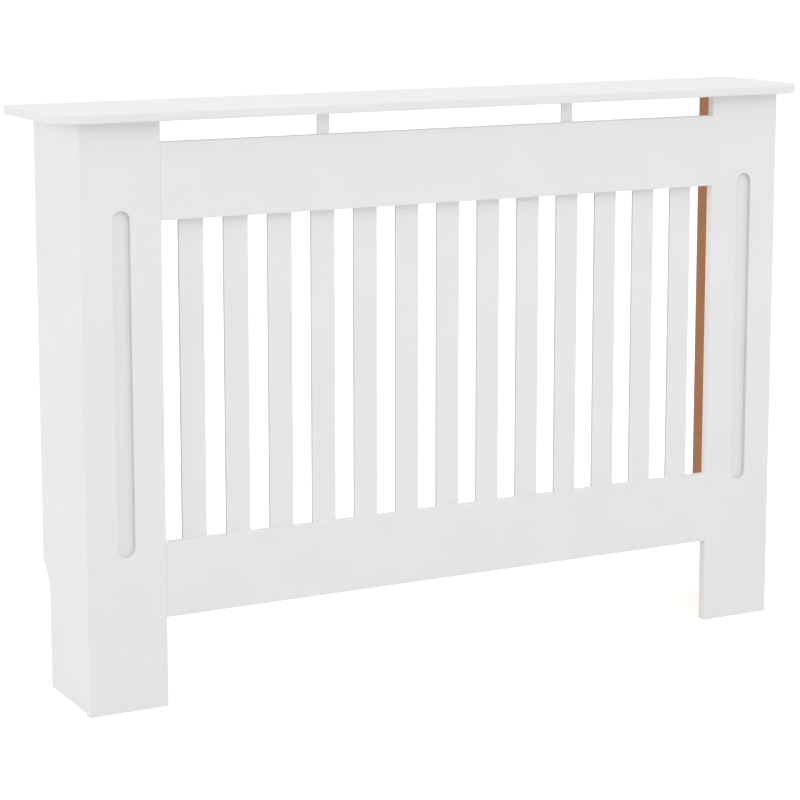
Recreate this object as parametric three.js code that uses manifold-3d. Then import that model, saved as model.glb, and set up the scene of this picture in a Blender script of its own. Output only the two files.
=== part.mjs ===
// Radiator cover cabinet: a flat-pack cover of painted MDF that stands against the wall
// over a radiator. Two leg units, each a fluted front board on a side panel, carry a
// grille of thin slats between two rails, and a shelf with clipped front corners.
//
// Millimetres. X runs along the wall, +Y points to the wall and +Z up. The origin is on
// the floor, below the middle of the shelf.

import * as THREE from "three";
import { mergeVertices } from "three/addons/utils/BufferGeometryUtils.js";
import Module from "manifold-3d";

const wasm = await Module();
wasm.setup();

// ---- Driving dimensions ----

// Whole cover
const COVER_HEIGHT = 768;

// Shelf
const SHELF_WIDTH = 1120;
const SHELF_DEPTH = 190;
const SHELF_THICKNESS = 12;
const SHELF_CLIP = 27; // length along each side of the 45 degree clipped corner
const SHELF_ARRIS = 1.5; // round-over of the shelf's edges
const SIDE_OVERHANG = 36; // shelf past the leg fronts
const FRONT_OVERHANG = 20; // shelf past the face of the leg fronts

// Leg fronts, which share their board thickness with the rails
const FRONT_THICKNESS = 12;
const FRONT_ARRIS = 0.8; // round-over of the long front edges
const LEG_WIDTH = 108;
const FLUTE_WIDTH = 24;
const FLUTE_DEPTH = 6;
const FLUTE_FOOT = 203; // lower end of the flute above the floor
const FLUTE_HEAD = 111; // upper end of the flute below the shelf

// Side panels
const PANEL_THICKNESS = 12;
const PANEL_INSET = 3; // the panel stands back from the outer edge of its leg front
const SKIRTING_DEPTH = 24; // cut-out that clears a skirting board at the wall
const SKIRTING_HEIGHT = 118; // height of the cut-out's straight part
const SKIRTING_RADIUS = 62; // arc that leads from the cut-out to the wall edge

// Rails
const RAIL_HEIGHT = 98;
const SHELF_GAP = 28; // air gap between the shelf and the top rail
const FLOOR_GAP = 118; // below the bottom rail

// Slats
const SLAT_COUNT = 13;
const SLAT_WIDTH = 34;
const SLAT_THICKNESS = 3;
const SLAT_LAP = 40; // length that each end of a slat lies behind its rail
const SLAT_ARRIS = 0.6;

// Two short strips that hold the shelf up between the legs
const SUPPORT_SPACING = 368;
const SUPPORT_WIDTH = 17;
const SUPPORT_THICKNESS = 3;
const SUPPORT_SLAT_GAP = 6; // above the end of the slats

// Battens in the corners of the leg units, and cleats under the ends of the shelf
const BATTEN = 20;
const BATTEN_FOOT = 10; // lower end above the floor
const BATTEN_EASE = 1.5; // flat planed off a batten's long edges
const CLEAT_GAP = 2; // between a corner batten and its cleat
const CLEAT_LENGTH = 76;

// Plates that bridge the joints between rails and legs, behind them
const PLATE_THICKNESS = 12;
const PLATE_MARGIN = 10; // rail that shows above and below the plate, from behind
const PLATE_ON_LEG = 28;
const PLATE_SLAT_GAP = 4; // between a plate and the outermost slat
const PLATE_EASE = 3; // radius of the plate's corners

// Angle brackets that fix the cover to the wall
const BRACKET_FLANGE = 30;
const BRACKET_WIDTH = 20;
const BRACKET_THICKNESS = 2;
const BRACKET_BEND = 2; // inner radius
const BRACKET_DROP = 76; // middle of the bracket below the shelf
const BRACKET_HOLE = 4.5;
const BRACKET_HOLE_EDGE = 7; // hole centre from the end of the flange
const BRACKET_HOLE_SPACING = 11;

// Countersunk screws
const SCREW_DIAMETER = 3.5;
const SCREW_HEAD = 7;
const SCREW_POINT = 2.5;
const SCREW_BITE = 8; // length in the board that it is driven into
const PLATE_SCREW_SPACING = 54; // up the plate
const CLEAT_SCREW_END = 18; // from the ends of a cleat
const SUPPORT_SCREW_END = 9;
const SUPPORT_SCREW_SPACING = 26;

const CLEARANCE = 0.3; // round each screw in its hole

// Facets
const SCREW_SIDES = 8;
const BRACKET_HOLE_SIDES = 16;
const ARRIS_STEPS = 3;
const FLUTE_END_STEPS = 20;
const SKIRTING_STEPS = 12;
const BEND_STEPS = 5;

// ---- Places worked out from them ----

const shelfUnder = COVER_HEIGHT - SHELF_THICKNESS;
const wallFace = SHELF_DEPTH / 2;
const frontFace = FRONT_OVERHANG - SHELF_DEPTH / 2;
const frontBack = frontFace + FRONT_THICKNESS;

const legOuter = SHELF_WIDTH / 2 - SIDE_OVERHANG;
const legInner = legOuter - LEG_WIDTH;
const panelOuter = legOuter - PANEL_INSET;
const panelInner = panelOuter - PANEL_THICKNESS;

const topRailTop = shelfUnder - SHELF_GAP;
const topRailBottom = topRailTop - RAIL_HEIGHT;
const bottomRailTop = FLOOR_GAP + RAIL_HEIGHT;

const slatGap = (2 * legInner - SLAT_COUNT * SLAT_WIDTH) / (SLAT_COUNT + 1);
const slatPitch = SLAT_WIDTH + slatGap;
const slatFoot = bottomRailTop - SLAT_LAP;
const slatHead = topRailBottom + SLAT_LAP;

const supportFoot = slatHead + SUPPORT_SLAT_GAP;
const bracketZ = shelfUnder - BRACKET_DROP;

const battenBack = frontBack + BATTEN;
const battenMiddle = frontBack + BATTEN / 2;
const battenX = panelInner - BATTEN / 2;
const cleatFront = battenBack + CLEAT_GAP;
const cleatBack = cleatFront + CLEAT_LENGTH;
const cleatZ = shelfUnder - BATTEN / 2;

const plateOnRail = slatGap - PLATE_SLAT_GAP;
const plateBack = frontBack + PLATE_THICKNESS;

const SIDES = { left: -1, right: 1 };
const RAILS = { bottom: FLOOR_GAP, top: topRailBottom }; // foot of each rail

const UP = new THREE.Vector3(0, 0, 1);
const TO_FRONT = new THREE.Vector3(0, -1, 0);
const outward = (side) => new THREE.Vector3(side, 0, 0);

// ---- Finishes ----

const FINISHES = {
  paintedMdf: { color: "#edecea", roughness: 0.45, metalness: 0 },
  rawMdf: { color: "#a87655", roughness: 0.85, metalness: 0 },
  pine: { color: "#d9bb8c", roughness: 0.75, metalness: 0 },
  zincPlate: { color: "#b9bcc0", roughness: 0.35, metalness: 1 },
};

const finish = (name) => new THREE.MeshStandardMaterial(FINISHES[name]);

// ---- Geometry helpers ----

/** The closed solid that a three.js geometry bounds. */
function solid(geometry) {
  const bare = geometry.clone();
  bare.deleteAttribute("normal");
  bare.deleteAttribute("uv");
  const merged = mergeVertices(bare);
  return new wasm.Manifold(
    new wasm.Mesh({
      numProp: 3,
      vertProperties: new Float32Array(merged.attributes.position.array),
      triVerts: new Uint32Array(merged.index.array),
    }),
  );
}

/** The three.js geometry on the outside of a solid. */
function surface(body) {
  const mesh = body.getMesh();
  const geometry = new THREE.BufferGeometry();
  geometry.setAttribute("position", new THREE.BufferAttribute(mesh.vertProperties, 3));
  geometry.setIndex(new THREE.BufferAttribute(mesh.triVerts, 1));
  return geometry;
}

/** Cuts holes, given in the cover's frame, out of a piece whose own frame stands at place. */
function carve(geometry, place, holes) {
  let body = solid(geometry);
  for (const hole of holes) {
    body = body.subtract(solid(hole.clone().translate(-place.x, -place.y, -place.z)));
  }
  return surface(body);
}

/** A prism of the outline, with its length along the outline's own third axis. */
function prism(outline, length, steps = ARRIS_STEPS) {
  return new THREE.ExtrudeGeometry(outline, {
    depth: length,
    bevelEnabled: false,
    curveSegments: steps,
  });
}

/** Turns a prism drawn in Y and Z so that its length runs along X. */
function alongX(geometry) {
  const turn = new THREE.Matrix4().makeBasis(
    new THREE.Vector3(0, 1, 0),
    new THREE.Vector3(0, 0, 1),
    new THREE.Vector3(1, 0, 0),
  );
  return geometry.applyMatrix4(turn);
}

/** Turns a prism drawn in X and Z so that its length runs along -Y. */
function alongMinusY(geometry) {
  return geometry.applyMatrix4(new THREE.Matrix4().makeRotationX(Math.PI / 2));
}

/** A rectangle from (0, 0) to (width, depth) with its two corners at depth 0 rounded. */
function boardSection(width, depth, arris) {
  const s = new THREE.Shape();
  s.moveTo(width, depth);
  s.lineTo(0, depth);
  s.lineTo(0, arris);
  s.absarc(arris, arris, arris, Math.PI, 1.5 * Math.PI, false);
  s.lineTo(width - arris, 0);
  s.absarc(width - arris, arris, arris, 1.5 * Math.PI, 2 * Math.PI, false);
  s.closePath();
  return s;
}

/** A rectangle round the origin with all its corners rounded. */
function roundedPlate(width, height, radius) {
  const x = width / 2 - radius;
  const y = height / 2 - radius;
  const s = new THREE.Shape();
  s.absarc(x, y, radius, 0, Math.PI / 2, false);
  s.absarc(-x, y, radius, Math.PI / 2, Math.PI, false);
  s.absarc(-x, -y, radius, Math.PI, 1.5 * Math.PI, false);
  s.absarc(x, -y, radius, 1.5 * Math.PI, 2 * Math.PI, false);
  s.closePath();
  return s;
}

/** A square round the origin with its corners planed off. */
function easedSquare(size, ease) {
  const a = size / 2;
  const b = a - ease;
  const corners = [[a, -b], [a, b], [b, a], [-b, a], [-a, b], [-a, -b], [-b, -a], [b, -a]];
  return new THREE.Shape(corners.map(([x, y]) => new THREE.Vector2(x, y)));
}

/** Revolves [radius, distance] points, then lays the axis from start along direction. */
function revolve(points, sides, start, direction) {
  const profile = points.map(([r, along]) => new THREE.Vector2(r, along));
  const geometry = new THREE.LatheGeometry(profile, sides);
  const turn = new THREE.Quaternion().setFromUnitVectors(
    new THREE.Vector3(0, 1, 0),
    direction,
  );
  return geometry.applyQuaternion(turn).translate(start.x, start.y, start.z);
}

// ---- Screws ----

/**
 * A countersunk screw, or with a clearance the hole that it fits. The head lies flush
 * with the face of the piece that it holds, and the hole starts a little above that face.
 */
function screwShape(screw, clearance = 0) {
  const length = screw.through + SCREW_BITE + clearance;
  const head = SCREW_HEAD / 2 + clearance;
  const shank = SCREW_DIAMETER / 2 + clearance;
  const sink = (SCREW_HEAD - SCREW_DIAMETER) / 2;
  const mouth = clearance ? [[0, -clearance], [head, -clearance]] : [[0, 0]];
  const profile = [
    ...mouth,
    [head, 0],
    [shank, sink],
    [shank, length - SCREW_POINT],
    [0, length],
  ];
  return revolve(profile, SCREW_SIDES, screw.head, screw.towards);
}

/** The screw holes that a list of screws needs. */
const screwHoles = (screws) => screws.map((screw) => screwShape(screw, CLEARANCE));

/** The four screws of one joint plate: two into the rail and two into the leg. */
function plateScrews(side, railFoot) {
  const middle = railFoot + RAIL_HEIGHT / 2;
  const columns = [legInner - plateOnRail / 2, legInner + PLATE_ON_LEG / 2];
  return columns.flatMap((x) =>
    [-1, 1].map((end) => ({
      head: new THREE.Vector3(side * x, plateBack, middle + (end * PLATE_SCREW_SPACING) / 2),
      towards: TO_FRONT,
      through: PLATE_THICKNESS,
    })),
  );
}

/** A cleat's two screws up into the shelf. */
const cleatScrews = (side) =>
  [cleatFront + CLEAT_SCREW_END, cleatBack - CLEAT_SCREW_END].map((y) => ({
    head: new THREE.Vector3(side * battenX, y, shelfUnder - BATTEN),
    towards: UP,
    through: BATTEN,
  }));

/** A shelf support's two screws into the top rail. */
const supportScrews = (side) =>
  [0, SUPPORT_SCREW_SPACING].map((rise) => ({
    head: new THREE.Vector3(
      (side * SUPPORT_SPACING) / 2,
      frontBack + SUPPORT_THICKNESS,
      supportFoot + SUPPORT_SCREW_END + rise,
    ),
    towards: TO_FRONT,
    through: SUPPORT_THICKNESS,
  }));

/** A wall bracket's two screws into the side panel. */
const bracketScrews = (side) =>
  [0, BRACKET_HOLE_SPACING].map((inward) => ({
    head: new THREE.Vector3(
      side * (panelInner - BRACKET_THICKNESS),
      wallFace - BRACKET_FLANGE + BRACKET_HOLE_EDGE + inward,
      bracketZ,
    ),
    towards: outward(side),
    through: BRACKET_THICKNESS,
  }));

// ---- Pieces ----

const cover = new THREE.Group();

/** Adds one piece to the cover, its own frame standing at place. */
function add(name, geometry, place, finishName) {
  const mesh = new THREE.Mesh(geometry, finish(finishName));
  mesh.name = name;
  mesh.position.copy(place);
  cover.add(mesh);
}

/** The shelf: clipped front corners, and a round-over on all its edges. */
function topShelf() {
  const half = SHELF_WIDTH / 2;
  const deep = SHELF_DEPTH / 2;
  const outline = new THREE.Shape(
    [
      [-half, deep],
      [-half, SHELF_CLIP - deep],
      [SHELF_CLIP - half, -deep],
      [half - SHELF_CLIP, -deep],
      [half, SHELF_CLIP - deep],
      [half, deep],
    ].map(([x, y]) => new THREE.Vector2(x, y)),
  );
  const board = new THREE.ExtrudeGeometry(outline, {
    depth: SHELF_THICKNESS - 2 * SHELF_ARRIS,
    bevelThickness: SHELF_ARRIS,
    bevelSize: SHELF_ARRIS,
    bevelOffset: -SHELF_ARRIS,
    bevelSegments: ARRIS_STEPS,
  }).translate(0, 0, SHELF_ARRIS);
  const place = new THREE.Vector3(0, 0, shelfUnder);
  const screws = Object.values(SIDES).flatMap(cleatScrews);
  add("top_shelf", carve(board, place, screwHoles(screws)), place, "paintedMdf");
}

/** The cutter of a flute: round ends, flat floor, and a little proud of the face. */
function fluteCutter(side) {
  const radius = FLUTE_WIDTH / 2;
  const low = FLUTE_FOOT + radius;
  const high = shelfUnder - FLUTE_HEAD - radius;
  const outline = new THREE.Shape();
  outline.absarc(0, high, radius, 0, Math.PI, false);
  outline.absarc(0, low, radius, Math.PI, 2 * Math.PI, false);
  outline.closePath();
  const cutter = alongMinusY(prism(outline, FLUTE_DEPTH + CLEARANCE, FLUTE_END_STEPS));
  return cutter.translate(side * (legInner + LEG_WIDTH / 2), frontFace + FLUTE_DEPTH, 0);
}

/** A leg front: a full height board with a stopped flute down its middle. */
function legFront(name, side) {
  const board = prism(boardSection(LEG_WIDTH, FRONT_THICKNESS, FRONT_ARRIS), shelfUnder);
  const left = side > 0 ? legInner : -legOuter;
  const place = new THREE.Vector3(left, frontFace, 0);
  const holes = [
    fluteCutter(side),
    ...screwHoles(Object.values(RAILS).flatMap((foot) => plateScrews(side, foot))),
  ];
  add(`${name}_leg_front`, carve(board, place, holes), place, "paintedMdf");
}

/** A side panel: it reaches the wall, and its lower back corner clears the skirting. */
function sidePanel(name, side) {
  const cut = wallFace - SKIRTING_DEPTH;
  const reach = SKIRTING_RADIUS - SKIRTING_DEPTH;
  const arcEnd = Math.acos(reach / SKIRTING_RADIUS);
  const outline = new THREE.Shape();
  outline.moveTo(frontBack, 0);
  outline.lineTo(cut, 0);
  outline.absarc(
    cut + SKIRTING_RADIUS,
    SKIRTING_HEIGHT,
    SKIRTING_RADIUS,
    Math.PI,
    Math.PI - arcEnd,
    true,
  );
  outline.lineTo(wallFace, shelfUnder);
  outline.lineTo(frontBack, shelfUnder);
  outline.closePath();
  const board = alongX(prism(outline, PANEL_THICKNESS, SKIRTING_STEPS));
  const place = new THREE.Vector3(side > 0 ? panelInner : -panelOuter, 0, 0);
  const holes = screwHoles(bracketScrews(side));
  add(`${name}_side_panel`, carve(board, place, holes), place, "paintedMdf");
}

/** A rail, butted between the leg fronts with its face flush with theirs. */
function rail(name, foot) {
  const section = boardSection(RAIL_HEIGHT, FRONT_THICKNESS, FRONT_ARRIS);
  const length = 2 * legInner;
  // The section's width stands upright and its rounded corners face the room.
  const stand = new THREE.Matrix4().makeBasis(
    new THREE.Vector3(0, 0, 1),
    new THREE.Vector3(0, 1, 0),
    new THREE.Vector3(-1, 0, 0),
  );
  const board = prism(section, length).applyMatrix4(stand);
  const place = new THREE.Vector3(legInner, frontFace, foot);
  const sides = Object.values(SIDES);
  const supports = foot === RAILS.top ? sides.flatMap(supportScrews) : [];
  const plates = sides.flatMap((side) => plateScrews(side, foot));
  const holes = screwHoles([...plates, ...supports]);
  add(`${name}_rail`, carve(board, place, holes), place, "paintedMdf");
}

/** The slats, evenly spaced between the legs and lapped on the backs of both rails. */
function slats() {
  const section = boardSection(SLAT_WIDTH, SLAT_THICKNESS, SLAT_ARRIS);
  for (let k = 0; k < SLAT_COUNT; k++) {
    const left = -legInner + slatGap + k * slatPitch;
    const name = `slat_${String(k + 1).padStart(2, "0")}`;
    const place = new THREE.Vector3(left, frontBack, slatFoot);
    add(name, prism(section, slatHead - slatFoot), place, "paintedMdf");
  }
}

/** A strip that stands on the back of the top rail and holds the shelf up. */
function shelfSupport(name, side) {
  const section = boardSection(SUPPORT_WIDTH, SUPPORT_THICKNESS, SLAT_ARRIS);
  const strip = prism(section, shelfUnder - supportFoot);
  const left = (side * SUPPORT_SPACING - SUPPORT_WIDTH) / 2;
  const place = new THREE.Vector3(left, frontBack, supportFoot);
  const holes = screwHoles(supportScrews(side));
  add(`${name}_shelf_support`, carve(strip, place, holes), place, "paintedMdf");
}

/** The batten inside a leg unit's corner, up to the shelf. */
function cornerBatten(name, side) {
  const strip = prism(easedSquare(BATTEN, BATTEN_EASE), shelfUnder - BATTEN_FOOT);
  const place = new THREE.Vector3(side * battenX, battenMiddle, BATTEN_FOOT);
  add(`${name}_corner_batten`, strip, place, "pine");
}

/** The cleat that the end of the shelf is screwed to, on the inside of a side panel. */
function shelfCleat(name, side) {
  const strip = alongMinusY(prism(easedSquare(BATTEN, BATTEN_EASE), CLEAT_LENGTH));
  const place = new THREE.Vector3(side * battenX, cleatBack, cleatZ);
  const holes = screwHoles(cleatScrews(side));
  add(`${name}_shelf_cleat`, carve(strip, place, holes), place, "pine");
}

/** The plate that bridges the joint of one rail and one leg, behind them. */
function jointPlate(name, side, railFoot) {
  const width = plateOnRail + PLATE_ON_LEG;
  const outline = roundedPlate(width, RAIL_HEIGHT - 2 * PLATE_MARGIN, PLATE_EASE);
  const block = alongMinusY(prism(outline, PLATE_THICKNESS));
  const middle = legInner + (PLATE_ON_LEG - plateOnRail) / 2;
  const place = new THREE.Vector3(side * middle, plateBack, railFoot + RAIL_HEIGHT / 2);
  const holes = screwHoles(plateScrews(side, railFoot));
  add(`${name}_joint_plate`, carve(block, place, holes), place, "rawMdf");
}

/** A bent steel angle: one flange on the side panel, the other flat against the wall. */
function wallBracket(name, side) {
  const outer = BRACKET_BEND + BRACKET_THICKNESS;
  const outline = new THREE.Shape();
  outline.moveTo(-BRACKET_THICKNESS, -BRACKET_FLANGE);
  outline.lineTo(0, -BRACKET_FLANGE);
  outline.absarc(-outer, -outer, outer, 0, Math.PI / 2, false);
  outline.lineTo(-BRACKET_FLANGE, 0);
  outline.lineTo(-BRACKET_FLANGE, -BRACKET_THICKNESS);
  outline.absarc(-outer, -outer, BRACKET_BEND, Math.PI / 2, 0, true);
  outline.closePath();
  const angle = prism(outline, BRACKET_WIDTH, BEND_STEPS);
  // Turned a quarter round its corner, the right bracket becomes the left one.
  if (side < 0) angle.rotateZ(Math.PI / 2);
  const foot = bracketZ - BRACKET_WIDTH / 2;
  const place = new THREE.Vector3(side * panelInner, wallFace, foot);
  const holes = [...screwHoles(bracketScrews(side)), ...wallScrewHoles(side)];
  add(`${name}_wall_bracket`, carve(angle, place, holes), place, "zincPlate");
}

/** The empty holes in a bracket's wall flange. */
function wallScrewHoles(side) {
  const radius = BRACKET_HOLE / 2;
  const profile = [
    [0, -CLEARANCE],
    [radius, -CLEARANCE],
    [radius, BRACKET_THICKNESS + CLEARANCE],
    [0, BRACKET_THICKNESS + CLEARANCE],
  ];
  return [0, BRACKET_HOLE_SPACING].map((inward) => {
    const x = panelInner - BRACKET_FLANGE + BRACKET_HOLE_EDGE + inward;
    const start = new THREE.Vector3(side * x, wallFace, bracketZ);
    return revolve(profile, BRACKET_HOLE_SIDES, start, TO_FRONT);
  });
}

/** One screw for each in the list, numbered from 1. */
function screws(name, list) {
  list.forEach((screw, k) => {
    const atOrigin = { ...screw, head: new THREE.Vector3() };
    add(`${name}_screw_${k + 1}`, screwShape(atOrigin), screw.head, "zincPlate");
  });
}

// ---- Assembly ----

topShelf();
slats();
for (const [sideName, side] of Object.entries(SIDES)) {
  legFront(sideName, side);
  sidePanel(sideName, side);
  cornerBatten(sideName, side);
  shelfCleat(sideName, side);
  screws(`${sideName}_cleat`, cleatScrews(side));
  shelfSupport(sideName, side);
  screws(`${sideName}_support`, supportScrews(side));
  wallBracket(sideName, side);
  screws(`${sideName}_bracket`, bracketScrews(side));
}
for (const [railName, foot] of Object.entries(RAILS)) {
  rail(railName, foot);
  for (const [sideName, side] of Object.entries(SIDES)) {
    jointPlate(`${railName}_${sideName}`, side, foot);
    screws(`${railName}_${sideName}_plate`, plateScrews(side, foot));
  }
}

export default cover;
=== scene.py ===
# %% [markdown]
# # A slatted radiator cover
#
# The real cover is flat-pack furniture: boards of MDF, sprayed satin white on the faces that
# a room sees and left bare brown on the others. Two leg units stand in front of the wall. Each
# is a fluted board with a side panel behind it. Between them two rails hold a grille of thin
# slats, and a shelf with clipped corners lies on top.
#
# The measured model comes first. It says where every piece is, so that each piece below is
# modelled inside the box of its own node, and only takes its fine shape and finish here.

# %% Load the measured model
import math

import bmesh
import bpy
from mathutils import Matrix, Vector


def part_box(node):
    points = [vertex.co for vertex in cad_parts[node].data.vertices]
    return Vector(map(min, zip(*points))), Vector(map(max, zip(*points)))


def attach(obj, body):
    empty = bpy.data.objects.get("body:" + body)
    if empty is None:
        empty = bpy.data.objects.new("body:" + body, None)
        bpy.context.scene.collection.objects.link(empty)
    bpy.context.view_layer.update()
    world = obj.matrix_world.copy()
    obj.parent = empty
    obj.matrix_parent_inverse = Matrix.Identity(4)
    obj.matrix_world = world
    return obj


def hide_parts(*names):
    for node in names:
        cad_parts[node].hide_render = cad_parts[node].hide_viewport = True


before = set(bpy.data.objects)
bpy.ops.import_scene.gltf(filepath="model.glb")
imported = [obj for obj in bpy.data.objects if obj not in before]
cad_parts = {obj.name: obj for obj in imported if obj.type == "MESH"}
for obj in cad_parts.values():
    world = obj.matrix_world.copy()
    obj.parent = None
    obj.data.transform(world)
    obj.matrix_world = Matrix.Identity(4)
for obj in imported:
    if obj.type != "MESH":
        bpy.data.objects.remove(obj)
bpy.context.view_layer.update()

MM = 0.001
SIDES = {"left": -1, "right": 1}

# %% [markdown]
# ## The camera
#
# The photograph was taken from the left of the cover, a little above its shelf, with a long
# lens about three and a half metres away. Its upright edges stay upright, which a photographer
# gets by shifting the lens instead of tilting the camera. So large a shift would push the cover
# out of the pictures that are taken from its other sides. A small part of it is kept here, and
# a downward tilt of nine degrees does the rest.

# %% Camera
CAMERA_PLACE = Vector((-1.609, -2.965, 1.027))
CAMERA_TURN = math.radians(27.9)  # to the right of square on
CAMERA_DIP = math.radians(9.17)  # below level
FOCAL_LENGTH = 113.0  # mm, behind a 36 mm wide sensor
LENS_SHIFT = -0.12  # of the picture's width

lens = bpy.data.cameras.new("camera")
lens.lens = FOCAL_LENGTH
lens.shift_y = LENS_SHIFT
camera = bpy.data.objects.new("camera", lens)
camera.location = CAMERA_PLACE
camera.rotation_euler = (math.pi / 2 - CAMERA_DIP, 0, -CAMERA_TURN)
bpy.context.scene.collection.objects.link(camera)
bpy.context.scene.camera = camera
print("camera at", camera.location, "metres")

# %% [markdown]
# ## Materials
#
# Colours are written as the hex values that a paint chart gives, in sRGB, and one function
# turns them into the linear values that Blender mixes light in. Another adds a shader node,
# with its settings and its links, so that each material below reads as a short recipe.


# %% Helpers for materials
def linear(hex_colour):
    """The linear RGBA of an sRGB colour such as #ffffff."""
    channels = [int(hex_colour[k : k + 2], 16) / 255 for k in (1, 3, 5)]
    curve = [c / 12.92 if c <= 0.04045 else ((c + 0.055) / 1.055) ** 2.4 for c in channels]
    return (*curve, 1.0)


def add_node(tree, kind, settings=None, links=None):
    """A node with its sockets and properties set, and other nodes' outputs linked to it."""
    node = tree.nodes.new("ShaderNode" + kind)
    for name, value in (settings or {}).items():
        if isinstance(name, int) or name in node.inputs:
            node.inputs[name].default_value = value
        else:
            setattr(node, name, value)
    for name, output in (links or {}).items():
        tree.links.new(output, node.inputs[name])
    return node


def new_material(name, constants):
    """A material, its node tree and its shader, with the shader's constant values set."""
    material = bpy.data.materials.new(name)
    material.use_nodes = True
    shader = material.node_tree.nodes["Principled BSDF"]
    for socket, value in constants.items():
        shader.inputs[socket].default_value = value
    return material, material.node_tree, shader


FACTOR, COLOUR_A, COLOUR_B, COLOUR_OUT = 0, 6, 7, 2  # a colour Mix node's sockets

# %% [markdown]
# ### Satin white paint on MDF
#
# An acrylic lacquer is sprayed on in two coats. It dries to a satin skin: a broad, soft
# highlight, and no mirror image. Close up, the spray leaves orange peel, low swellings about
# 2 mm across, with a finer grit of dust that dried in. The coat is a little drier in some
# places than in others, which changes its gloss more than its colour. So the colour moves by
# barely one percent, the roughness by a tenth, and the relief is a few thousandths of a
# millimetre.
#
# How white it dries depends on what is below. A pressed face keeps the coat on its surface. A
# routed wall has open pores that drink some of it, and the sawn edge of a thin strip drinks
# most, so both are duller and greyer. The routed wall is drawn darker still, as painted shade
# for the inside of the flute. The short strips under the shelf are painted whiter than the
# rest, as painted light that stands in for the light that the shade under the shelf takes away.
# The recipe is a function of the two whites and of the roughness, so that one paint can be
# laid on all of them.

# %% Satin white paint
PEEL_SIZE = 2.2 * MM
PEEL_HEIGHT = 0.008 * MM
COAT_SIZE = 90 * MM  # patches of drier and wetter spray
WET_GLOSS = 0.06  # how much less rough the wettest patches are
DUST_SIZE = 0.5 * MM
DUST_HEIGHT = 0.0016 * MM


def sprayed_white(name, thick, thin, driest):
    """The paint where its coat is thick and thin, and the roughness where it is driest."""
    material, tree, shader = new_material(name, {"IOR": 1.46})
    place = add_node(tree, "TexCoord").outputs["Object"]
    coat = add_node(
        tree,
        "TexNoise",
        {"Scale": 1 / COAT_SIZE, "Detail": 3.0, "Roughness": 0.55},
        {"Vector": place},
    )
    peel = add_node(
        tree,
        "TexNoise",
        {"Scale": 1 / PEEL_SIZE, "Detail": 1.0, "Roughness": 0.4},
        {"Vector": place},
    )
    dust = add_node(
        tree,
        "TexNoise",
        {"Scale": 1 / DUST_SIZE, "Detail": 2.0},
        {"Vector": place},
    )
    build = add_node(
        tree,
        "MapRange",
        {"From Min": 0.3, "From Max": 0.62},
        {"Value": coat.outputs["Fac"]},
    )
    white = add_node(
        tree,
        "Mix",
        {"data_type": "RGBA", COLOUR_A: linear(thin), COLOUR_B: linear(thick)},
        {FACTOR: build.outputs["Result"]},
    )
    gloss = add_node(
        tree,
        "MapRange",
        {"From Min": 0.3, "From Max": 0.7, "To Min": driest, "To Max": driest - WET_GLOSS},
        {"Value": coat.outputs["Fac"]},
    )
    gritty = add_node(
        tree,
        "Bump",
        {"Strength": 1.0, "Distance": DUST_HEIGHT},
        {"Height": dust.outputs["Fac"]},
    )
    relief = add_node(
        tree,
        "Bump",
        {"Strength": 1.0, "Distance": PEEL_HEIGHT},
        {"Height": peel.outputs["Fac"], "Normal": gritty.outputs["Normal"]},
    )
    tree.links.new(white.outputs[COLOUR_OUT], shader.inputs["Base Color"])
    tree.links.new(gloss.outputs["Result"], shader.inputs["Roughness"])
    tree.links.new(relief.outputs["Normal"], shader.inputs["Normal"])
    return material


satin_paint = sprayed_white("satin_white_paint", "#eeeeee", "#ececeb", 0.48)
# Darker than the face paint: partly the pores of the routed wall, partly painted shade for the
# groove.
routed_paint_with_painted_shade = sprayed_white("satin_white_on_routed_wall", "#dededc", "#dadad7", 0.56)
edge_paint = sprayed_white("satin_white_on_sawn_edge", "#cececd", "#c8c8c6", 0.62)
# Whiter than the face paint, as painted light that lifts the strips out of the shade under the
# shelf.
strip_paint_with_painted_light = sprayed_white("satin_white_on_planed_strip", "#fafaf9", "#f8f8f7", 0.44)
print("paints:", satin_paint.name, routed_paint_with_painted_shade.name, edge_paint.name, strip_paint_with_painted_light.name)

# %% [markdown]
# ### Bare MDF
#
# MDF is wood fibre and resin, hot-pressed and sanded. Its face is a warm mid brown, with fine
# pale and dark fibres a few millimetres long that lie in all directions, and faint clouds
# where the press packed it more or less. It has no gloss. Three noises, each stretched along
# another direction, cross each other as the fibres do. The real fibres are a tenth of a
# millimetre thick and are drawn three times thicker, so that they show.
#
# A saw tears the fibres and its heat darkens the resin, so a sawn edge is the same stuff in
# a deeper brown. The sawn edges that look at the wall are drawn darker still, as painted
# shade for the dim light behind the cover. The recipe is a function of its two browns.

# %% Bare MDF
FIBRE_LENGTH = 3.0 * MM
FIBRE_WIDTH = 0.3 * MM
FIBRE_HEIGHT = 0.03 * MM
CLOUD_SIZE = 40 * MM
CLOUD_SHARE = 0.12  # of the colour's spread that the clouds make, against the fibres
FIBRE_LAYS = (  # each lay of fibres: its turn, and its stretch along the three axes
    ((0.7, 0.3, 0.9), (1 / FIBRE_LENGTH, 1 / FIBRE_WIDTH, 1 / FIBRE_WIDTH)),
    ((-0.5, 0.8, 0.2), (1 / FIBRE_WIDTH, 1 / FIBRE_WIDTH, 1 / FIBRE_LENGTH)),
    ((0.2, -0.9, 0.6), (1 / FIBRE_WIDTH, 1 / FIBRE_LENGTH, 1 / FIBRE_WIDTH)),
)


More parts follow.
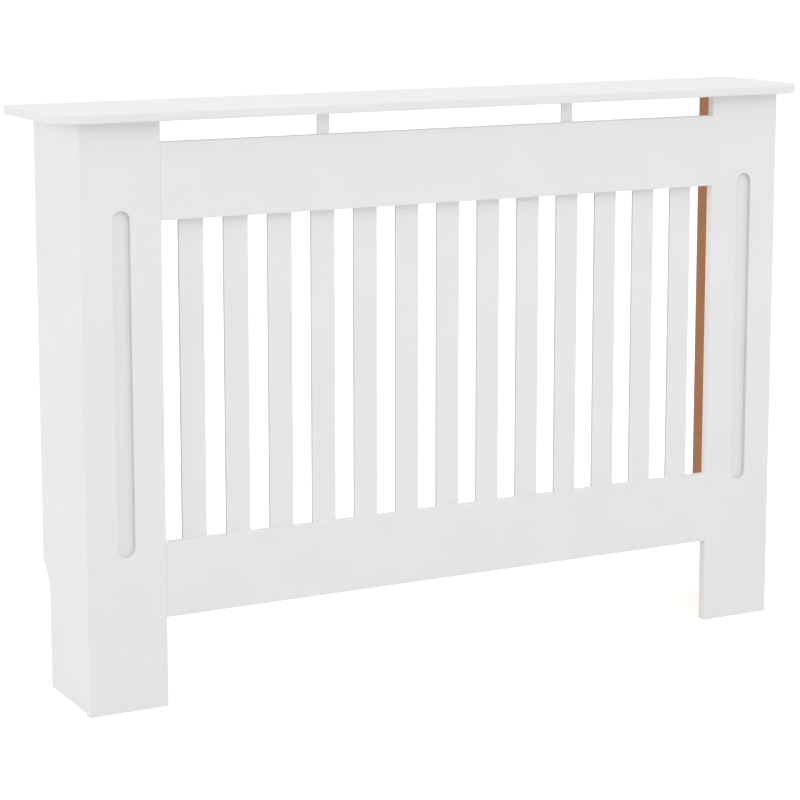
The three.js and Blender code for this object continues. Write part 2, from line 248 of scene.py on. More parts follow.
def fibre_board(name, pale, dark):
    """MDF without paint, between a pale and a dark brown."""
    material, tree, shader = new_material(
        name, {"Roughness": 0.85, "IOR": 1.45, "Specular IOR Level": 0.25}
    )
    place = add_node(tree, "TexCoord").outputs["Object"]
    felted = None
    for turn, stretch in FIBRE_LAYS:
        laid = add_node(tree, "Mapping", {"Rotation": turn, "Scale": stretch}, {"Vector": place})
        lay = add_node(
            tree,
            "TexNoise",
            {"Scale": 1.0, "Detail": 1.0},
            {"Vector": laid.outputs[0]},
        ).outputs["Fac"]
        if felted is None:
            felted = lay
        else:
            crossed = add_node(tree, "Math", {"operation": "MAXIMUM"}, {0: felted, 1: lay})
            felted = crossed.outputs[0]
    cloud = add_node(
        tree,
        "TexNoise",
        {"Scale": 1 / CLOUD_SIZE, "Detail": 2.0},
        {"Vector": place},
    )
    shade = add_node(
        tree,
        "Math",
        {"operation": "MULTIPLY_ADD", 1: CLOUD_SHARE},
        {0: cloud.outputs["Fac"], 2: felted},
    )
    spread = add_node(
        tree,
        "MapRange",
        {"From Min": 0.5, "From Max": 0.82},
        {"Value": shade.outputs[0]},
    )
    brown = add_node(
        tree,
        "Mix",
        {"data_type": "RGBA", COLOUR_A: linear(dark), COLOUR_B: linear(pale)},
        {FACTOR: spread.outputs["Result"]},
    )
    nap = add_node(
        tree,
        "Bump",
        {"Strength": 0.6, "Distance": FIBRE_HEIGHT},
        {"Height": felted},
    )
    tree.links.new(brown.outputs[COLOUR_OUT], shader.inputs["Base Color"])
    tree.links.new(nap.outputs["Normal"], shader.inputs["Normal"])
    return material


bare_mdf = fibre_board("bare_mdf", "#dcaa82", "#b67d56")
# A deeper brown for sawn edges, and darker still as painted shade for the side at the wall.
sawn_mdf_with_painted_shade = fibre_board("sawn_mdf_edge", "#b98560", "#8f5f3f")
print("made", bare_mdf.name, "and", sawn_mdf_with_painted_shade.name)

# %% [markdown]
# ### Planed pine
#
# The battens and cleats are softwood. A growth ring shows on a planed face as a pale band of
# early wood that ends in a darker line of late wood, which wanders slowly along the piece. The
# timber is fast grown, with wide rings, so that a stick this thin shows one or two of them. A
# wave texture gives the rings, and noise that is stretched along the grain bends them and adds
# the pores. A batten is upright and a cleat lies along the shelf's depth, so the recipe is a
# function of the direction of the grain.

# %% Planed pine
PINE_EARLY = "#e2c391"
PINE_LATE = "#c4935a"
RING_SPACING = 25.13 * MM
RING_RADIANS = 20  # that the wave texture goes through in one unit, at a scale of 1
GRAIN_STRETCH = 18  # how much longer than wide the grain's features are
PORE_SIZE = 0.6 * MM
PORE_DEPTH = 0.05 * MM


def planed_pine(name, along):
    """Pine whose grain runs along one axis, given as 0, 1 or 2."""
    material, tree, shader = new_material(name, {"Roughness": 0.6, "IOR": 1.5})
    place = add_node(tree, "TexCoord").outputs["Object"]
    squeeze = [1.0, 1.0, 1.0]
    squeeze[along] = 1 / GRAIN_STRETCH
    grown = add_node(tree, "Mapping", {"Scale": squeeze}, {"Vector": place})
    rings = add_node(
        tree,
        "TexWave",
        {
            "wave_type": "RINGS",
            "rings_direction": "XYZ"[along],
            "wave_profile": "SAW",
            "Scale": math.tau / RING_RADIANS / RING_SPACING,
            "Distortion": 3.0,
            "Detail": 2.0,
            "Detail Scale": 1.5,
        },
        {"Vector": grown.outputs[0]},
    )
    pores = add_node(
        tree,
        "TexNoise",
        {"Scale": 1 / PORE_SIZE, "Detail": 2.0},
        {"Vector": grown.outputs[0]},
    )
    late = add_node(
        tree,
        "MapRange",
        {"From Min": 0.35, "From Max": 1.0, "To Max": 0.75},
        {"Value": rings.outputs["Fac"]},
    )
    mottled = add_node(
        tree,
        "Math",
        {"operation": "MULTIPLY_ADD", 1: 0.4, 2: -0.1},
        {0: pores.outputs["Fac"]},
    )
    share = add_node(
        tree,
        "Math",
        {"operation": "ADD", "use_clamp": True},
        {0: late.outputs["Result"], 1: mottled.outputs[0]},
    )
    wood = add_node(
        tree,
        "Mix",
        {"data_type": "RGBA", COLOUR_A: linear(PINE_EARLY), COLOUR_B: linear(PINE_LATE)},
        {FACTOR: share.outputs[0]},
    )
    pitted = add_node(
        tree,
        "Bump",
        {"Strength": 0.5, "Distance": PORE_DEPTH},
        {"Height": share.outputs[0]},
    )
    tree.links.new(wood.outputs[COLOUR_OUT], shader.inputs["Base Color"])
    tree.links.new(pitted.outputs["Normal"], shader.inputs["Normal"])
    return material


pine_upright = planed_pine("planed_pine_upright", 2)
pine_level = planed_pine("planed_pine_level", 1)
print("made", pine_upright.name, "and", pine_level.name)

# %% [markdown]
# ### Zinc plated steel
#
# Brackets and screws are steel with a bright zinc coat. It is a metal, so the colour goes to
# the base colour with full metallic. The plating bath leaves it a cool grey, brighter and
# duller in specks about a millimetre wide, and tumbling adds fine scuffs.

# %% Zinc plated steel
ZINC_BRIGHT = "#c9ccd0"
ZINC_DULL = "#a7abb1"
SPECK_SIZE = 1.2 * MM
SCUFF_SIZE = 0.35 * MM
SCUFF_DEPTH = 0.01 * MM

zinc_plate, tree, shader = new_material("zinc_plated_steel", {"Metallic": 1.0})
place = add_node(tree, "TexCoord").outputs["Object"]
specks = add_node(
    tree,
    "TexNoise",
    {"Scale": 1 / SPECK_SIZE, "Detail": 3.0},
    {"Vector": place},
)
scuffs = add_node(
    tree,
    "TexNoise",
    {"Scale": 1 / SCUFF_SIZE, "Detail": 2.0},
    {"Vector": place},
)
plating = add_node(
    tree,
    "Mix",
    {"data_type": "RGBA", COLOUR_A: linear(ZINC_DULL), COLOUR_B: linear(ZINC_BRIGHT)},
    {FACTOR: specks.outputs["Fac"]},
)
sheen = add_node(
    tree,
    "MapRange",
    {"From Min": 0.3, "From Max": 0.7, "To Min": 0.28, "To Max": 0.42},
    {"Value": specks.outputs["Fac"]},
)
scratched = add_node(
    tree,
    "Bump",
    {"Strength": 0.3, "Distance": SCUFF_DEPTH},
    {"Height": scuffs.outputs["Fac"]},
)
tree.links.new(plating.outputs[COLOUR_OUT], shader.inputs["Base Color"])
tree.links.new(sheen.outputs["Result"], shader.inputs["Roughness"])
tree.links.new(scratched.outputs["Normal"], shader.inputs["Normal"])
print("made", zinc_plate.name)

# %% [markdown]
# ## Ways of working
#
# Each piece is modelled as it would be by hand: a primitive is added at its size and place,
# its edges and faces are picked in edit mode and bevelled, extruded or cut, and it is then
# finished. Picking is done by position and direction, so the helpers below take a test and
# select every edge or face that passes it.


# %% Helpers for modelling
NEAR = 0.1 * MM  # two places that are closer than this count as one
EDGE_ALONG = 0.999  # an edge runs along an axis from this share of its length on
FACE_ALONG = 0.99  # a face looks along an axis from this share of its normal on
SHARP_ANGLE = math.radians(35)  # an edge that turns by more than this stays sharp


def only(*pieces):
    """Deselects everything, then selects these pieces and makes the first one active."""
    bpy.ops.object.select_all(action="DESELECT")
    for piece in pieces:
        piece.select_set(True)
    bpy.context.view_layer.objects.active = pieces[0]


def board(name, low, high):
    """A block that fills the box between two corners, with its place in its mesh."""
    bpy.ops.object.select_all(action="DESELECT")
    bpy.ops.mesh.primitive_cube_add(size=1, location=(low + high) / 2)
    piece = bpy.context.object
    piece.name = piece.data.name = name
    piece.scale = high - low
    bpy.ops.object.transform_apply(location=True, rotation=True, scale=True)
    return piece


def pick(piece, kind, test):
    """Enters edit mode with the edges or faces selected that pass the test."""
    only(piece)
    bpy.ops.object.mode_set(mode="EDIT")
    bpy.ops.mesh.select_mode(type=kind)
    bpy.ops.mesh.select_all(action="DESELECT")
    mesh = bmesh.from_edit_mesh(piece.data)
    for part in mesh.edges if kind == "EDGE" else mesh.faces:
        part.select_set(test(part))
    bmesh.update_edit_mesh(piece.data)


def leave_edit():
    bpy.ops.object.mode_set(mode="OBJECT")


def middle(edge):
    return (edge.verts[0].co + edge.verts[1].co) / 2


def runs_along(edge, axis):
    """Whether an edge runs along one axis, given as 0, 1 or 2."""
    run = (edge.verts[1].co - edge.verts[0].co).normalized()
    return abs(run[axis]) > EDGE_ALONG


def near_front(edge, low):
    """Whether an edge lies at the front of a piece whose lowest corner is given."""
    return middle(edge).y < low.y + MM


def looks_along(face, axis, way):
    """Whether a face looks along an axis, up it for a way of 1 and down it for -1."""
    return face.normal[axis] * way > FACE_ALONG


def looks_back(face):
    """Whether a face looks at the wall."""
    return looks_along(face, 1, 1)


def ease(piece, width, segments, test):
    """Rounds over the edges that pass the test."""
    pick(piece, "EDGE", test)
    bpy.ops.mesh.bevel(offset=width, segments=segments, affect="EDGES")
    leave_edit()


def cut(piece, tool):
    """Cuts one piece with another, which is used up."""
    only(piece)
    boolean = piece.modifiers.new("cut", "BOOLEAN")
    boolean.operation = "DIFFERENCE"
    boolean.solver = "EXACT"
    boolean.object = tool
    bpy.ops.object.modifier_apply(modifier=boolean.name)
    bpy.data.objects.remove(tool)


def smooth(piece):
    """Shades the rounded edges smooth and keeps the flat faces flat."""
    only(piece)
    bpy.ops.object.shade_smooth_by_angle(angle=SHARP_ANGLE)
    weighted = piece.modifiers.new("weighted_normals", "WEIGHTED_NORMAL")
    weighted.keep_sharp = True
    bpy.ops.object.modifier_apply(modifier=weighted.name)


def coat_faces(piece, finish, test):
    """Gives the faces that pass the test one more finish."""
    piece.data.materials.append(finish)
    pick(piece, "FACE", test)
    piece.active_material_index = len(piece.data.materials) - 1
    bpy.ops.object.material_slot_assign()
    leave_edit()


def coat_with(piece, first, second=None, test=None):
    """Gives a piece a finish, and a second one on the faces that pass the test."""
    piece.data.materials.append(first)
    if second:
        coat_faces(piece, second, test)


def copy_piece(piece, name, shift):
    """A copy with a mesh of its own, moved by shift."""
    twin = piece.copy()
    twin.data = piece.data.copy()
    twin.name = twin.data.name = name
    twin.data.transform(Matrix.Translation(shift))
    bpy.context.scene.collection.objects.link(twin)
    return twin


def hand_over(piece, node):
    """Puts a finished piece on the cover in place of its plain node."""
    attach(piece, "root")
    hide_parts(node)


# %% [markdown]
# ## The shelf
#
# The shelf is one board. Its two front corners are clipped at 45 degrees, and a router with a
# small round-over bit has run round both of its faces. The clip is an edge bevel with one
# segment, and the round-over one with four. The shelf is painted all over, because its
# underside shows where it stands out past the legs.

# %% Shelf
SHELF_CLIP = 27 * MM
SHELF_ROUND = 1.5 * MM

low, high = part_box("top_shelf")
shelf = board("shelf", low, high)
ease(shelf, SHELF_CLIP, 1, lambda edge: runs_along(edge, 2) and middle(edge).y < 0)
ease(shelf, SHELF_ROUND, 4, lambda edge: not runs_along(edge, 2))
coat_with(shelf, satin_paint)
smooth(shelf)
hand_over(shelf, "top_shelf")
print("shelf:", len(shelf.data.polygons), "faces")

# %% [markdown]
# ## The leg fronts
#
# A leg front is a board as high as the leg, with a stopped flute routed down its middle: a
# shallow groove with a flat floor and round ends. The cutter below has the shape that the
# router bit sweeps. It starts as a cylinder as wide as the bit, and its upper half is pulled
# up to the groove's other end. Sanding and paint round the groove's mouth a little, so it is
# eased after the cut.
#
# The back is bare, but for the narrow strip that stands out past the side panel. A bisect of
# the back face along the panel's line parts the two, so that each can have its own finish.

# %% Leg fronts
FLUTE_WIDTH = 24 * MM
FLUTE_DEPTH = 6 * MM
FLUTE_FOOT = 203 * MM
FLUTE_HEAD = 111 * MM  # below the shelf
FLUTE_MOUTH = 0.2 * MM
MOUTH_REACH = 0.6  # of the flute's width, from its middle line, that holds all of its mouth
WALL_TILT = 0.3  # a face is a wall if its normal leans to the front or back by less
LEG_ARRIS = 0.8 * MM
FOOT_ARRIS = 0.7 * MM
HIDDEN_ARRIS = 0.3 * MM
ROUND_STEPS = 48


def sweep(name, radius, start, end, depth, axis):
    """The space that a turning cutter sweeps as it moves up from start to end."""
    turn = {0: (0, math.pi / 2, 0), 1: (math.pi / 2, 0, 0)}[axis]
    bpy.ops.object.select_all(action="DESELECT")
    bpy.ops.mesh.primitive_cylinder_add(
        vertices=ROUND_STEPS, radius=radius, depth=depth, location=start, rotation=turn
    )
    tool = bpy.context.object
    tool.name = name
    bpy.ops.object.transform_apply(location=True, rotation=True, scale=True)
    bpy.ops.object.mode_set(mode="EDIT")
    bpy.ops.mesh.select_mode(type="VERT")
    bpy.ops.mesh.select_all(action="DESELECT")
    mesh = bmesh.from_edit_mesh(tool.data)
    for vertex in mesh.verts:
        vertex.select_set(vertex.co.z > start.z + NEAR)
    bmesh.update_edit_mesh(tool.data)
    bpy.ops.transform.translate(value=end - start)
    leave_edit()
    return tool


def on_foot(edge, low):
    """Whether an edge is the front one of a board's foot."""
    return abs(middle(edge).z - low.z) < NEAR and near_front(edge, low)


def leg_front(side_name):
    """One fluted board."""
    node = f"{side_name}_leg_front"
    low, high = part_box(node)
    leg = board(f"{side_name}_leg_board", low, high)
    ease(leg, LEG_ARRIS, 3, lambda edge: runs_along(edge, 2) and near_front(edge, low))
    ease(leg, FOOT_ARRIS, 2, lambda edge: on_foot(edge, low))
    ease(
        leg,
        HIDDEN_ARRIS,
        1,
        lambda edge: not runs_along(edge, 2) and abs(middle(edge).y - high.y) < NEAR,
    )

    def between_ends(at):
        return low.z + MM < at.z < high.z - MM

    centre = Vector(((low.x + high.x) / 2, low.y, 0))
    radius = FLUTE_WIDTH / 2
    foot = centre + Vector((0, 0, FLUTE_FOOT + radius))
    head = centre + Vector((0, 0, high.z - FLUTE_HEAD - radius))
    cut(leg, sweep("flute_tool", radius, foot, head, 2 * FLUTE_DEPTH, 1))

    def on_mouth(edge):
        at = middle(edge)
        across = abs(at.x - centre.x) < FLUTE_WIDTH * MOUTH_REACH
        return across and between_ends(at) and abs(at.y - low.y) < NEAR

    ease(leg, FLUTE_MOUTH, 3, on_mouth)
    panel_low, panel_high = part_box(f"{side_name}_side_panel")
    panel_edge = max((panel_low.x, panel_high.x), key=abs)
    pick(leg, "FACE", looks_back)
    bpy.ops.mesh.bisect(plane_co=(panel_edge, 0, 0), plane_no=(1, 0, 0))
    leave_edit()

    def behind_panel(face):
        return looks_back(face) and abs(face.calc_center_median().x) < abs(panel_edge)

    def flute_wall(face):
        at = face.calc_center_median()
        across = abs(at.x - centre.x) < radius + FLUTE_MOUTH
        return across and between_ends(at) and abs(face.normal.y) < WALL_TILT

    coat_with(leg, satin_paint, bare_mdf, behind_panel)
    # The flute's walls get the darker routed paint, which is partly painted shade for the groove.
    coat_faces(leg, routed_paint_with_painted_shade, flute_wall)
    smooth(leg)
    hand_over(leg, node)
    return leg


for side_name in SIDES:
    leg = leg_front(side_name)
    print(leg.name, len(leg.data.polygons), "faces")

# %% [markdown]
# ## The side panels
#
# A side panel reaches from the leg front to the wall. Its lower back corner is cut away so
# that it clears the skirting board, and a round cutter leaves the cut with a sweeping curve at
# its top. The same swept tool makes it, lying across the board this time. The outer face is
# painted. The inner face is bare, and so are the sawn edges that look at the wall.

# %% Side panels
SKIRTING_DEPTH = 24 * MM
SKIRTING_HEIGHT = 118 * MM
SKIRTING_RADIUS = 62 * MM
PANEL_ARRIS = 0.6 * MM
WALL_ARRIS = 1.6 * MM  # of the inner edge at the wall, which only a sander has touched
SAWN_SLOPE = 0.2  # share of its normal from which a face looks at the wall, or outwards


def side_panel(side_name, side):
    """One panel, painted on the side that faces away from the radiator."""
    node = f"{side_name}_side_panel"
    low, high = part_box(node)
    panel = board(f"{side_name}_panel_board", low, high)
    cut_y = high.y - SKIRTING_DEPTH + SKIRTING_RADIUS
    top = Vector(((low.x + high.x) / 2, cut_y, SKIRTING_HEIGHT))
    start = Vector((top.x, cut_y, low.z - SKIRTING_RADIUS))
    cut(panel, sweep("skirting_tool", SKIRTING_RADIUS, start, top, 2 * (high.x - low.x), 0))

    def on_outline(edge):
        level = abs(edge.verts[1].co.x - edge.verts[0].co.x) < NEAR
        return level and not near_front(edge, low)

    def at_wall(edge):
        return runs_along(edge, 2) and middle(edge).y > high.y - NEAR

    def sawn(face):
        return face.normal.y > SAWN_SLOPE and face.normal.x * side < SAWN_SLOPE

    inner = low.x if side > 0 else high.x
    ease(panel, WALL_ARRIS, 2, lambda edge: at_wall(edge) and abs(middle(edge).x - inner) < MM)
    ease(panel, PANEL_ARRIS, 2, on_outline)
    coat_with(panel, satin_paint, bare_mdf, lambda face: looks_along(face, 0, -side))
    # The faces that look at the wall get the sawn brown, which is partly painted shade.
    coat_faces(panel, sawn_mdf_with_painted_shade, sawn)
    smooth(panel)
    hand_over(panel, node)
    return panel


for side_name, side in SIDES.items():
    panel = side_panel(side_name, side)
    print(panel.name, len(panel.data.polygons), "faces")

# %% [markdown]
# ## The rails
#
# The rails butt against the legs. Where two painted boards meet, their eased edges leave a
# hairline, which is what shows the joint from the front. So the ends get a fine bevel too. The
# backs are bare, like those of the legs.

# %% Rails
RAIL_ARRIS = 0.8 * MM
JOINT_ARRIS = 0.35 * MM


def rail(rail_name):
    """One rail, its long front edges rounded and its ends eased."""
    node = f"{rail_name}_rail"
    low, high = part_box(node)
    piece = board(f"{rail_name}_rail_board", low, high)

    def at_joint(edge):
        from_end = min(abs(middle(edge).x - end) for end in (low.x, high.x))
        return runs_along(edge, 2) and near_front(edge, low) and from_end < NEAR

    ease(piece, RAIL_ARRIS, 3, lambda edge: runs_along(edge, 0) and near_front(edge, low))
    ease(piece, JOINT_ARRIS, 2, at_joint)
    coat_with(piece, satin_paint, bare_mdf, looks_back)
    smooth(piece)
    hand_over(piece, node)
    return piece


for rail_name in ("top", "bottom"):
    piece = rail(rail_name)
    print(piece.name, len(piece.data.polygons), "faces")

# %% [markdown]
# ## The slats
#
# The slats are strips of thin MDF, all alike, so one is modelled and the others are copies of
# it. Each copy is moved to its own node's place, and because the paint's pattern is fixed in
# space, no two of them look the same. Their long edges are sawn and have drunk the paint, which
# draws a grey line down the side of each slat.

# %% Slats
SLAT_ARRIS = 0.4 * MM
slat_nodes = sorted(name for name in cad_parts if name.startswith("slat_"))

first_low, first_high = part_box(slat_nodes[0])
first_slat = board("grille_strip_01", first_low, first_high)
ease(
    first_slat,
    SLAT_ARRIS,
    3,
    lambda edge: runs_along(edge, 2) and near_front(edge, first_low),
)
coat_with(first_slat, satin_paint, bare_mdf, looks_back)
coat_faces(
    first_slat,
    edge_paint,
    lambda face: looks_along(face, 0, 1) or looks_along(face, 0, -1),
)
smooth(first_slat)
strips = [first_slat]
for number, node in enumerate(slat_nodes[1:], start=2):
    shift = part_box(node)[0] - first_low
    strips.append(copy_piece(first_slat, f"grille_strip_{number:02d}", shift))
for strip, node in zip(strips, slat_nodes):
    hand_over(strip, node)
print(len(strips), "slats")

# %% [markdown]
# ## The staples
#
# Each end of a slat is stapled to its rail, from behind, with two staples. Only the crown of a
# staple shows, a flattened wire whose ends bend down into the board. A stapler held by hand
# never fires quite level, so the crowns of one slat are turned by a few degrees, and each slat
# starts at another place in the list of turns. One crown is modelled, and a slat's four are
# copies of it, joined into one piece.

# %% Staples
CROWN_LENGTH = 10 * MM
CROWN_WIDTH = 1.2 * MM
CROWN_RISE = 0.6 * MM
CROWN_BEND = 0.45 * MM
CROWN_FROM_END = (10 * MM, 28 * MM)
CROWN_TURNS = (-5, 2, 0, 4, -2, 6, -3)  # degrees
TURNS_SKIPPED = 3  # in the list, from one slat's first turn to the next slat's

half_crown = Vector((CROWN_LENGTH, CROWN_RISE, CROWN_WIDTH)) / 2
crown = board("staple_crown", -half_crown, half_crown)
ease(crown, CROWN_BEND, 4, lambda edge: middle(edge).y > half_crown.y / 2)
coat_with(crown, zinc_plate)
smooth(crown)


def slat_staples(strip, node, first_turn):
    """The four staples of one slat, two through each end."""
    low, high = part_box(node)
    levels = [low.z + step for step in CROWN_FROM_END]
    levels += [high.z - step for step in CROWN_FROM_END]
    crowns = []
    for k, level in enumerate(levels):
        place = Vector(((low.x + high.x) / 2, high.y + CROWN_RISE / 2, level))
        one = copy_piece(crown, f"{strip.name}_staple", Vector())
        turn = math.radians(CROWN_TURNS[(first_turn + k) % len(CROWN_TURNS)])
        one.data.transform(Matrix.Translation(place) @ Matrix.Rotation(turn, 4, "Y"))
        crowns.append(one)
    only(*crowns)
    bpy.ops.object.join()
    staples = crowns[0]
    staples.name = staples.data.name = f"{strip.name}_staples"
    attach(staples, "root")


for k, (strip, node) in enumerate(zip(strips, slat_nodes)):
    slat_staples(strip, node, TURNS_SKIPPED * k)
bpy.data.objects.remove(crown)
print(4 * len(strips), "staples")

# %% [markdown]
# ## The shelf supports
#
# Two short strips of the same thin stock stand on the back of the top rail and carry the
# middle of the shelf. They show in the air slot below it. Each is a block with eased front
# edges, like a slat, but its edges are planed, so the paint is as white there as in front. That
# paint is whiter than the rest of the cover's, as painted light that stands in for the light
# that the shade under the shelf takes away. Its back is bare.

# %% Shelf supports
def shelf_support(side_name):
    """One short strip, eased like a slat."""
    node = f"{side_name}_shelf_support"
    low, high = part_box(node)
    strip = board(f"{side_name}_support_strip", low, high)
    ease(strip, SLAT_ARRIS, 3, lambda edge: runs_along(edge, 2) and near_front(edge, low))
    # The strip's paint is whiter than the face paint, as painted light against the shade under
    # the shelf.
    coat_with(strip, strip_paint_with_painted_light, bare_mdf, looks_back)
    smooth(strip)
    hand_over(strip, node)
    return strip


for side_name in SIDES:
    print(shelf_support(side_name).name)

# %% [markdown]
# ## Battens, cleats and joint plates
#
# Out of sight, a pine batten in each corner joins leg front and side panel, a cleat on each
# side panel holds the shelf, and plates of bare MDF bridge the joints between rails and legs.
# They are cut square and lightly sanded along their edges, so a block with bevels is all that
# they need. The holes for their screws are drilled later, with the screws.

# %% Battens and cleats
SANDED_EDGE = 1.5 * MM


def squared_timber(name, node, along, finish):
    """A square stick with its long edges sanded off."""
    low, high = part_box(node)
    stick = board(name, low, high)
    ease(stick, SANDED_EDGE, 2, lambda edge: runs_along(edge, along))
    coat_with(stick, finish)
    smooth(stick)
    hand_over(stick, node)
    return stick


for side_name in SIDES:
    batten = squared_timber(
        f"{side_name}_batten_stick", f"{side_name}_corner_batten", 2, pine_upright
    )
    cleat = squared_timber(f"{side_name}_cleat_stick", f"{side_name}_shelf_cleat", 1, pine_level)
    print(batten.name, "and", cleat.name)

# %% Joint plates
PLATE_CORNER = 3 * MM
PLATE_EDGE = 0.6 * MM


def joint_plate(node):
    """A plate with rounded corners and sanded edges."""
    low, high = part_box(node)
    plate = board(node.replace("joint_plate", "joint_block"), low, high)
    ease(plate, PLATE_CORNER, 5, lambda edge: runs_along(edge, 1))
    ease(plate, PLATE_EDGE, 2, lambda edge: abs(middle(edge).y - high.y) < NEAR)
    coat_with(plate, bare_mdf)
    smooth(plate)
    hand_over(plate, node)
    return plate


for rail_name in ("top", "bottom"):
    for side_name in SIDES:
        plate = joint_plate(f"{rail_name}_{side_name}_joint_plate")
        print(plate.name, len(plate.data.polygons), "faces")

# %% [markdown]
# ## The wall brackets
#
# A wall bracket is a strip of steel bent to a right angle. It starts as the flange on the side
# panel. The end at the wall is split off with a bisect, and the small face there is extruded
# to make the other flange. The outside and the inside of the corner are then rounded, the
# outside by the steel's thickness more than the inside, and two holes go through the flange at
# the wall.

# %% Wall brackets
BRACKET_THICKNESS = 2 * MM
BEND_RADIUS = 2 * MM
WALL_HOLE = 4.5 * MM
HOLE_FROM_END = 7 * MM
HOLE_SPACING = 11 * MM
SMALL_ROUND_STEPS = 24


def wall_bracket(side_name, side):
    """One bent angle with two holes in its wall flange."""
    node = f"{side_name}_wall_bracket"
    low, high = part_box(node)
    panel_face = high.x if side > 0 else low.x
    inner = panel_face - side * BRACKET_THICKNESS
    tip = low.x if side > 0 else high.x
    low_corner = Vector((min(panel_face, inner), low.y, low.z))
    high_corner = Vector((max(panel_face, inner), high.y, high.z))
    angle = board(f"{side_name}_wall_angle", low_corner, high_corner)
    bend = high.y - BRACKET_THICKNESS

    pick(angle, "FACE", lambda face: True)
    bpy.ops.mesh.bisect(plane_co=(0, bend, 0), plane_no=(0, 1, 0))
    leave_edit()
    pick(
        angle,
        "FACE",
        lambda face: looks_along(face, 0, -side) and face.calc_center_median().y > bend,
    )
    bpy.ops.mesh.extrude_region_move(TRANSFORM_OT_translate={"value": (tip - inner, 0, 0)})
    leave_edit()

    def upright_at(edge, x, y):
        at = middle(edge)
        return runs_along(edge, 2) and abs(at.x - x) < NEAR and abs(at.y - y) < NEAR

    outer_radius = BEND_RADIUS + BRACKET_THICKNESS
    ease(angle, outer_radius, 6, lambda edge: upright_at(edge, panel_face, high.y))
    ease(angle, BEND_RADIUS, 6, lambda edge: upright_at(edge, inner, bend))
    for step in (0, HOLE_SPACING):
        bpy.ops.object.select_all(action="DESELECT")
        bpy.ops.mesh.primitive_cylinder_add(
            vertices=SMALL_ROUND_STEPS,
            radius=WALL_HOLE / 2,
            depth=4 * BRACKET_THICKNESS,
            location=(tip + side * (HOLE_FROM_END + step), bend, (low.z + high.z) / 2),
            rotation=(math.pi / 2, 0, 0),
        )
        cut(angle, bpy.context.object)
    coat_with(angle, zinc_plate)
    smooth(angle)
    hand_over(angle, node)
    return angle


for side_name, side in SIDES.items():
    angle = wall_bracket(side_name, side)
    print(angle.name, len(angle.data.polygons), "faces")

# %% [markdown]
# ## The screws
#
# The screws are countersunk, with a cross recess. Only the heads show, so the head is modelled
# well and the shank stays plain. A cone makes the head, its small end is extruded into the
# shank and then drawn to a point, and two crossed bars are cut out of its top. One screw of
# each length is made at the origin, pointing down, and each copy is turned and moved to its
# own place. The same shape, a little larger, is the drill that sinks each screw's hole into
# the piece that it holds, so that the head lies flush in its own cone.

# %% Screws
SCREW_HEAD = 7 * MM
SCREW_SHANK = 3.5 * MM
HEAD_SINK = 1.75 * MM
POINT_LENGTH = 2.5 * MM
POINT_WIDTH = 0.1  # of the shank's
RECESS_LENGTH = 3.6 * MM
RECESS_WIDTH = 0.9 * MM
RECESS_DEPTH = 1.5 * MM
HOLE_GAP = 0.3 * MM
SCREW_TURNS = {  # how the screw, which points down, is turned to point another way
    "-y": Matrix.Rotation(-math.pi / 2, 4, "X"),
    "+z": Matrix.Rotation(math.pi, 4, "X"),
    "-x": Matrix.Rotation(math.pi / 2, 4, "Y"),
    "+x": Matrix.Rotation(-math.pi / 2, 4, "Y"),
}


def countersunk_blank(name, length, gap=0.0):
    """A cone and a straight shank below the origin, grown by a gap on every side."""
    bpy.ops.object.select_all(action="DESELECT")
    bpy.ops.mesh.primitive_cone_add(
        vertices=SMALL_ROUND_STEPS,
        radius1=SCREW_SHANK / 2 + gap,
        radius2=SCREW_HEAD / 2 + gap,
        depth=HEAD_SINK,
        location=(0, 0, -HEAD_SINK / 2),
    )
    blank = bpy.context.object
    blank.name = blank.data.name = name
    bpy.ops.object.transform_apply(location=True, rotation=True, scale=True)
    pick(blank, "FACE", lambda face: looks_along(face, 2, -1))
    bpy.ops.mesh.extrude_region_move(TRANSFORM_OT_translate={"value": (0, 0, HEAD_SINK - length)})
    leave_edit()
    return blank


def countersunk_screw(name, length):
    """A screw with its head's face at the origin and its point below."""
    screw = countersunk_blank(name, length - POINT_LENGTH)
    pick(screw, "FACE", lambda face: looks_along(face, 2, -1))
    bpy.ops.mesh.extrude_region_move(TRANSFORM_OT_translate={"value": (0, 0, -POINT_LENGTH)})
    bpy.ops.transform.resize(value=(POINT_WIDTH, POINT_WIDTH, 1))
    leave_edit()
    for turn in (math.pi / 4, -math.pi / 4):
        bpy.ops.object.select_all(action="DESELECT")
        bpy.ops.mesh.primitive_cube_add(size=1, location=(0, 0, 0), rotation=(0, 0, turn))
        bar = bpy.context.object
        bar.scale = (RECESS_LENGTH, RECESS_WIDTH, 2 * RECESS_DEPTH)
        bpy.ops.object.transform_apply(location=True, rotation=True, scale=True)
        cut(screw, bar)
    coat_with(screw, zinc_plate)
    smooth(screw)
    return screw


def drill(piece, length, place):
    """Sinks a screw's hole into a piece, its mouth where place puts the head."""
    bit = countersunk_blank("drill_bit", length + HOLE_GAP, HOLE_GAP)
    pick(bit, "FACE", lambda face: looks_along(face, 2, 1))
    bpy.ops.mesh.extrude_region_move(TRANSFORM_OT_translate={"value": (0, 0, HOLE_GAP)})
    leave_edit()
    bit.data.transform(place)
    cut(piece, bit)


HELD_NAMES = {  # the word before _screw_, and how the name of the piece that it holds ends
    "plate": "joint_block",
    "support": "support_strip",
    "bracket": "wall_angle",
    "cleat": "cleat_stick",
}


def screw_direction(node):
    """The way a screw points, which its name tells."""
    if "bracket" in node:
        return "-x" if node.startswith("left") else "+x"
    return "+z" if "cleat" in node else "-y"


def held_piece(node):
    """The finished piece that a screw holds, found by the screw's own name."""
    stem = node.split("_screw_")[0]
    for kind, name in HELD_NAMES.items():
        if stem.endswith(kind):
            return bpy.data.objects[stem.removesuffix(kind) + name]


